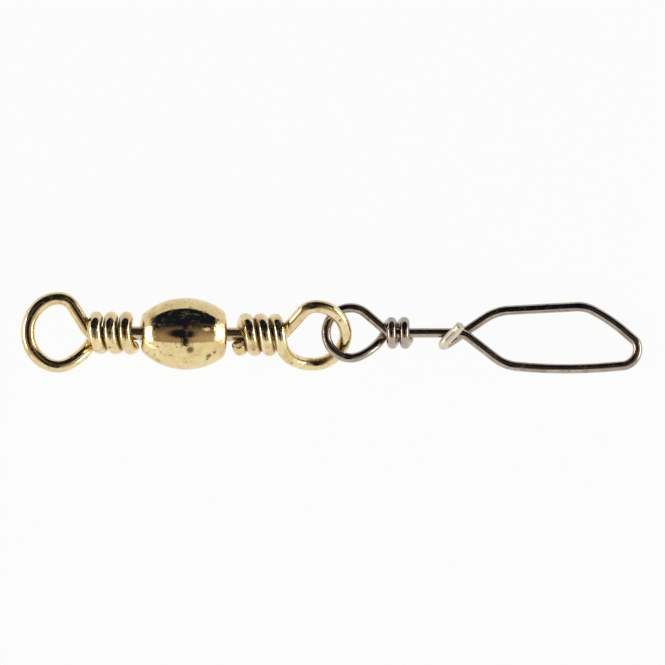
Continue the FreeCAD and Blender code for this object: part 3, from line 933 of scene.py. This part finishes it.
class SWIVEL_OT_barrel(bpy.types.Operator):
    """Make the swaged brass shell, with its pits"""
    bl_idname = "swivel.barrel"
    bl_label = "Barrel"

    # pits seen from above: along and across from the barrel's middle, radius and depth, in mm
    PITS = (
        (0.52, -1.17, 0.31, 0.014), (1.90, -1.58, 0.25, 0.020), (2.32, -1.31, 0.15, 0.012),
        (-1.78, -0.95, 0.09, 0.012), (-2.05, -1.52, 0.08, 0.014), (-0.91, -1.56, 0.08, 0.014),
        (-0.40, -0.99, 0.07, 0.010), (-0.12, -1.01, 0.06, 0.010), (1.02, -1.52, 0.05, 0.008),
        (-2.57, -1.42, 0.08, 0.010), (2.47, 1.03, 0.13, 0.010), (1.76, -1.80, 0.13, 0.010),
    )

    def execute(self, context):
        shell = context.scene.barrel_settings
        outline = [Vector((x, -y, 0)) for x, y in barrel_outline()]
        curve = centre_line("barrel_outline", outline, [1 / MM] * len(outline), closed=True)
        obj = grown("barrel_shell", curve, turned_shell_tree(), {
            "Segments": shell.segments, "Ripple height": shell.ripple,
            "Ripple span": shell.ripple_span, "Seed": 4.0, "Metal": metal(swaged_brass),
        })
        # the swivel's placement is in millimetres, and the shell in metres
        obj.data.transform(Matrix.Scale(MM, 4) @ SWIVEL @ Matrix.Scale(1 / MM, 4))
        press_pits(obj, [self.pit(obj, *pit) for pit in self.PITS])
        back = SWIVEL.inverted()
        # round the holes, where the shanks turn in the shell, tarnish and painted shade darken the
        # metal
        beside = [(back @ (v.co / MM)).yz.length - shell.hole / MM / 2 for v in obj.data.vertices]
        mark(obj, "seam", [1 - eased(gap / SEAM_REACH) for gap in beside])
        finish_skin(obj, "barrel", "barrel")
        return {"FINISHED"}

    def pit(self, obj, along, across, radius, depth):
        """Bring a pit seen from above down to the top of the shell."""
        at = Vector((SWIVEL_CENTRE.x + along, across)) * MM
        beside = 0.15 * MM
        seen = [v.co for v in obj.data.vertices if v.normal.z > 0.1
                and abs(v.co.x - at.x) < beside and abs(v.co.y - at.y) < beside]
        middle = max(seen, key=lambda co: co.z - 4 * (co.xy - at).length)
        return middle.copy(), radius, depth


def headed_start(eye, start_x):
    """Points and radii of the upset head, from its inner end to the shank."""
    sizes = bpy.context.scene.eye_settings
    head = sizes.head / MM / 2
    dome = sizes.head_dome / MM
    step = 0.012
    inner = start_x - sizes.head_length / MM
    profile = ((inner, head - dome / 2), (inner + dome, head), (start_x - step, head),
               (start_x, eye.shank / 2))
    return [eye.place(x, 0, 0) for x, _ in profile], [radius for _, radius in profile]


class SWIVEL_OT_eyes(bpy.types.Operator):
    """Make the line eye and the link eye, each one bent and wrapped brass wire"""
    bl_idname = "swivel.eyes"
    bl_label = "Brass eyes"

    # pits seen from above: along and across from the barrel's middle, in mm
    PITS = {
        "line": ((-6.77, -1.94), (-6.63, -0.82), (-5.29, -1.06)),
        "link": ((7.82, -2.05), (5.13, -1.11), (11.25, 1.08)),
    }

    def execute(self, context):
        tree = wire_skin_tree()
        for side, seed in (("line", 3.0), ("link", 8.0)):
            points, radii, neck = self.wire(side, seed)
            curve = centre_line(f"{side}_line", points, radii)
            obj = grown(f"{side}_eye_wire", curve, tree, {
                "Sides": WIRE_SIDES, "Metal": metal(drawn_brass),
            })
            # the seams get tarnish and painted shade, and the neck from the head to the shank's
            # bend gets dirt and painted shade where it runs into the shell
            mark_seam_shade(obj, points, radii, (0.0, neck, 0.45))
            press_pits(obj, [self.pit(obj, *at) for at in self.PITS[side]])
            finish_skin(obj, f"{side}_eye", f"{side}_eye")
        return {"FINISHED"}

    def wire(self, side, seed):
        """Points and radii of a wire from its head to its tail, and the length of its neck.

        The wraps are a little fuller than the rest, and so is the line eye's nose.
        """
        sizes = bpy.context.scene.eye_settings
        barrel = bpy.context.scene.barrel_settings
        inside = (barrel.length / 2 - barrel.end_wall - sizes.head_clearance) / MM
        eye = swivel_eye(side)
        centre = eye.place(0, 0, 0)
        points = eye.path([eye.place(inside, 0, 0)], [])
        run = run_lengths(points)
        swells = [(wraps_start(eye, run) + eye.wire, run[-1] + 1, 0.08)]
        if side == "line":
            _, nose = max(zip(points, run), key=lambda at: (at[0] - centre).length)
            swells.append((nose - 3.2, nose + 3.2, 0.07))
        radii = wire_radii(points, eye.wire / 2, seed, False, swells)

        # the shank keeps its full girth up to its bend
        shank_end = eye.leg()[0] - eye.bend_radius / 2
        for i, point in enumerate(points):
            if (point - points[0]).length > shank_end + 2:
                break
            x = (eye.placement.inverted() @ point).x
            fuller = (eye.shank - eye.wire) / 2 * eased((shank_end - x) / 0.25)
            radii[i] = max(radii[i], eye.wire / 2 + fuller)
        head_points, head_radii = headed_start(eye, inside)
        neck = sizes.head_length / MM + shank_end - inside
        return head_points[:-1] + points, head_radii[:-1] + radii, neck

    def pit(self, obj, along, across):
        """Bring a pit seen from above down to the top of the wire."""
        at = Vector((SWIVEL_CENTRE.x + along, across)) * MM
        radius, depth = 0.12, 0.018
        top = min((v.co for v in obj.data.vertices if v.normal.z > 0.2),
                  key=lambda co: (co.xy - at).length - 0.2 * co.z)
        return top.copy(), radius, depth


class SWIVEL_OT_snap(bpy.types.Operator):
    """Make the hooked snap, one bent spring wire"""
    bl_idname = "swivel.snap"
    bl_label = "Hooked snap"

    def execute(self, context):
        placement = snap_placement()
        eye = snap_eye(placement)
        corners, radii = snap_run_in()
        points = eye.path([placement @ corner for corner in corners], radii)
        run = run_lengths(points)
        wraps = (wraps_start(eye, run) + eye.wire, run[-1] + 1, 0.06)
        girths = wire_radii(points, eye.wire / 2, 5.0, True, [wraps])
        curve = centre_line("snap_line", points, girths)
        obj = grown("snap_spring_wire", curve, wire_skin_tree(), {
            "Sides": WIRE_SIDES, "Metal": metal(nickelled_spring_wire),
        })
        # the seams between the wraps get grime and painted shade
        mark_seam_shade(obj, points, girths)
        # the hook, the wire's first 2.6 mm, is made paler and rougher
        mark(obj, "hook_paling", [eased((2.6 - along) / 0.8) for along in places_along(obj)])
        finish_skin(obj, "snap", "snap_wire")
        return {"FINISHED"}


def flat_card(name, corners, material, seen=False):
    """A flat face through its corners in millimetres; an unseen one is only in reflections."""
    mesh = bpy.data.meshes.new(name)
    mesh.from_pydata([Vector(c) * MM for c in corners], [], [range(len(corners))])
    mesh.materials.append(material)
    obj = link_object(bpy.data.objects.new(name, mesh))
    obj.visible_camera = seen


def glow(name, text):
    """A plain surface of one even brightness, as a lit or an unlit card is."""
    material, tree = blank_material(name)
    light = add(tree, "ShaderNodeEmission", {"Color": (*hex_colour(text), 1), "Strength": 1.0})
    add(tree, "ShaderNodeOutputMaterial", {"Surface": light})
    return material


def ceiling_glow():
    """Dim warm ceiling: black over the table and towards the back, paler on the right."""
    material, tree = blank_material("dim warm ceiling")
    place = add(tree, "ShaderNodeTexCoord").outputs["Object"]
    parts = add(tree, "ShaderNodeSeparateXYZ", {0: place}).outputs
    # an oval patch of shade round the camera, its half axes 150 mm and 85 mm
    shifted = add(tree, "ShaderNodeVectorMath", {0: place, 1: (-0.030, 0.0, 0.0)},
                  operation="SUBTRACT")
    squashed = add(tree, "ShaderNodeVectorMath", {0: shifted, 1: (1 / 0.150, 1 / 0.085, 0.0)},
                   operation="MULTIPLY")
    apart = add(tree, "ShaderNodeVectorMath", {0: squashed}, operation="LENGTH")
    halo = add(tree, "ShaderNodeMapRange", {
        "Value": apart.outputs["Value"], "From Min": 0.6, "From Max": 1.25,
    }, interpolation_type="SMOOTHSTEP")
    depth = add(tree, "ShaderNodeMapRange", {
        "Value": parts["Y"], "From Min": -0.070, "From Max": 0.150, "To Min": 1.0, "To Max": 0.04,
    })
    share = add(tree, "ShaderNodeMath", {0: halo, 1: depth}, operation="MULTIPLY")
    side = add(tree, "ShaderNodeMapRange", {"Value": parts["X"], "From Max": 0.340})
    warm = add(tree, "ShaderNodeMix", {
        "Factor": side, 6: (*hex_colour("A58F7D"), 1), 7: (*hex_colour("BBAEA4"), 1),
    }, data_type="RGBA")
    shown = add(tree, "ShaderNodeMix", {
        "Factor": share, 6: (*hex_colour(BLACK_CLOTH), 1), 7: warm.outputs[2],
    }, data_type="RGBA")
    light = add(tree, "ShaderNodeEmission", {"Color": shown.outputs[2], "Strength": 1.0})
    add(tree, "ShaderNodeOutputMaterial", {"Surface": light})
    return material


def table_material(rgb):
    """White laminate: a plain pale table top that keeps a faint shadow."""
    material, tree = blank_material("white laminate")
    ray = add(tree, "ShaderNodeLightPath").outputs
    mirrored = add(tree, "ShaderNodeMath",
                   {0: ray["Is Glossy Ray"], 1: ray["Is Transmission Ray"]}, operation="MAXIMUM")
    in_metal = add(tree, "ShaderNodeMath", {0: mirrored, 1: 0.88}, operation="MULTIPLY")
    # the curtain's shade lies behind the object, where only the metal shows it
    place = add(tree, "ShaderNodeTexCoord").outputs["Object"]
    back = add(tree, "ShaderNodeSeparateXYZ", {0: place}).outputs["Y"]
    shaded = add(tree, "ShaderNodeMapRange", {
        "Value": back, "From Min": 0.002, "From Max": 0.012, "To Min": 1.0, "To Max": 0.80,
    })
    seen = ray["Is Camera Ray"]
    level = add(tree, "ShaderNodeMath", {0: seen, 1: shaded}, operation="MAXIMUM")
    share = add(tree, "ShaderNodeMath", {0: seen, 1: 0.95, 2: in_metal},
                operation="MULTIPLY_ADD")
    matt = add(tree, "ShaderNodeBsdfDiffuse", {"Color": (*rgb, 1)})
    white = add(tree, "ShaderNodeEmission", {"Color": (1, 1, 1, 1), "Strength": level})
    mixed = add(tree, "ShaderNodeMixShader", {0: share, 1: matt, 2: white})
    add(tree, "ShaderNodeOutputMaterial", {"Surface": mixed})
    return material


class SWIVEL_OT_stage(bpy.types.Operator):
    """Set up the table, the room round it, the lamps and the camera"""
    bl_idname = "swivel.stage"
    bl_label = "Stage"

    def execute(self, context):
        stage = context.scene.stage_settings
        reach = 3000.0
        flat_card("table_top", [
            (-reach, -reach, 0), (reach, -reach, 0), (reach, reach, 0), (-reach, reach, 0),
        ], table_material(stage.table), seen=True)
        self.room(stage.ceiling / MM)
        self.lamps(stage)
        self.white_room(context)
        self.camera(context)
        context.scene.view_settings.view_transform = "Standard"
        return {"FINISHED"}

    def room(self, height):
        """A dim ceiling with the camera's hood, and a black curtain behind the table."""
        dusk = glow("dusky wall", "4B453F")
        black = glow("black cloth", BLACK_CLOTH)
        flat_card("ceiling_card", [(x, y, height) for x, y in (
            (-540, -290), (-430, -250), (-178, -190), (0, -170), (178, -180), (379, -215),
            (600, -270), (590, 0), (565, 214), (-600, 214), (-530, 60),
        )], ceiling_glow())
        flat_card("curtain_card", [(x, 211, z) for x, z in (
            (-237, 3), (226, 6), (300, 78), (384, 142), (190, 260), (90, height),
            (-600, height), (-560, 270), (-450, 186), (-343, 108),
        )], black)
        flat_card("wall_card", [(x, 214, z) for x, z in (
            (-237, 2), (226, 4), (300, 78), (421, 168), (610, height), (-480, height),
            (-367, 200), (-343, 108),
        )], dusk)
        flat_card("hood_card", [(x, y, height - 3) for x, y in (
            (-95, -66), (85, -66), (100, -20), (90, 30), (45, 62), (-50, 62), (-105, 30),
            (-122, -20),
        )], black)
        flat_card("column_card", [(x, y, height - 5) for x, y in (
            (-30, -245), (50, -245), (50, -100), (44, 210), (-22, 210), (-26, -100),
        )], black)
        flat_card("cloth_card", [(x, y, height - 7) for x, y in (
            (-110, 150), (20, 150), (20, 211), (-110, 211),
        )], black)
        for x, z in ((17, 90), (53, 86), (76, 84)):
            flat_card("pane_card", [
                (x - 6, 209, z - 5), (x + 6, 209, z - 5), (x + 6, 209, z + 5), (x - 6, 209, z + 5),
            ], glow("pale pane", "A8A090"))

    def lamps(self, stage):
        """Soft boxes and low strips of light on both sides, and a small lamp on the right."""
        # shape, place in millimetres, width and height in metres, share of a soft box's light
        lamps = (
            ("softbox_left", "ELLIPSE", (-620, -25, 245), (0.62, 0.170), 1.0),
            ("softbox_right", "ELLIPSE", (620, 60, 235), (0.60, 0.225), 1.0),
            ("small_lamp", "ELLIPSE", (258, 94, 285), (0.065, 0.125), 0.24),
            ("left_strip", "RECTANGLE", (-600, -150, 85), (0.75, 0.13), 0.15),
            ("right_strip", "RECTANGLE", (610, 30, 45), (0.66, 0.09), 0.26),
        )
        for name, shape, place, (wide, high), share in lamps:
            light = bpy.data.lights.new(name, "AREA")
            light.shape = shape
            light.size, light.size_y = wide, high
            area = wide * high * (math.pi / 4 if shape == "ELLIPSE" else 1)
            light.energy = stage.softbox * share * math.pi * area
            lamp = link_object(bpy.data.objects.new(name, light))
            lamp.location = Vector(place) * MM
            facing = -lamp.location.normalized()
            lamp.rotation_euler = facing.to_track_quat("-Z", "Y").to_euler()

    def white_room(self, context):
        """The even light of the rest of the room, a little under white."""
        world = bpy.data.worlds.new("white room")
        context.scene.world = world
        world.use_nodes = True
        tree = world.node_tree
        tree.nodes.clear()
        sky = add(tree, "ShaderNodeBackground", {"Color": (1, 1, 1, 1), "Strength": 0.9})
        add(tree, "ShaderNodeOutputWorld", {"Surface": sky})

    def camera(self, context):
        """A long lens straight above, on a picture measured at the barrel's height."""
        picture_width, distance, barrel_height = 47.88, 1000.0, 2.6
        data = bpy.data.cameras.new("camera")
        data.sensor_width = 36.0
        data.lens = data.sensor_width * distance / picture_width
        data.clip_start = 0.01
        data.clip_end = 100.0
        data.dof.use_dof = False
        camera = link_object(bpy.data.objects.new("camera", data))
        camera.location = Vector((0.004, 0.221, barrel_height + distance)) * MM
        camera.rotation_euler = (0, 0, math.radians(0.7))
        context.scene.camera = camera


class SWIVEL_PT_panel(bpy.types.Panel):
    """The snap swivel's pieces and sizes"""
    bl_label = "Snap swivel"
    bl_idname = "SWIVEL_PT_panel"
    bl_space_type = "VIEW_3D"
    bl_region_type = "UI"
    bl_category = "Snap swivel"

    def draw(self, context):
        for operator in PIECES:
            self.layout.operator(operator.bl_idname)
        for name, kind in SETTINGS.items():
            box = self.layout.box()
            box.label(text=kind.__doc__)
            for key in kind.__annotations__:
                box.prop(getattr(context.scene, name), key)


SETTINGS = {
    "barrel_settings": BarrelSettings,
    "eye_settings": EyeSettings,
    "snap_settings": SnapSettings,
    "finish_settings": FinishSettings,
    "stage_settings": StageSettings,
}
PIECES = (SWIVEL_OT_barrel, SWIVEL_OT_eyes, SWIVEL_OT_snap, SWIVEL_OT_stage)


def register():
    for kind in (*SETTINGS.values(), *PIECES, SWIVEL_PT_panel):
        bpy.utils.register_class(kind)
    for name, kind in SETTINGS.items():
        setattr(bpy.types.Scene, name, PointerProperty(type=kind))


def unregister():
    for name in SETTINGS:
        delattr(bpy.types.Scene, name)
    for kind in (SWIVEL_PT_panel, *reversed(PIECES), *reversed(SETTINGS.values())):
        bpy.utils.unregister_class(kind)


def main():
    register()
    bpy.ops.swivel.barrel()
    bpy.ops.swivel.eyes()
    bpy.ops.swivel.snap()
    bpy.ops.swivel.stage()
    bpy.context.view_layer.update()


if __name__ == "__main__":
    main()
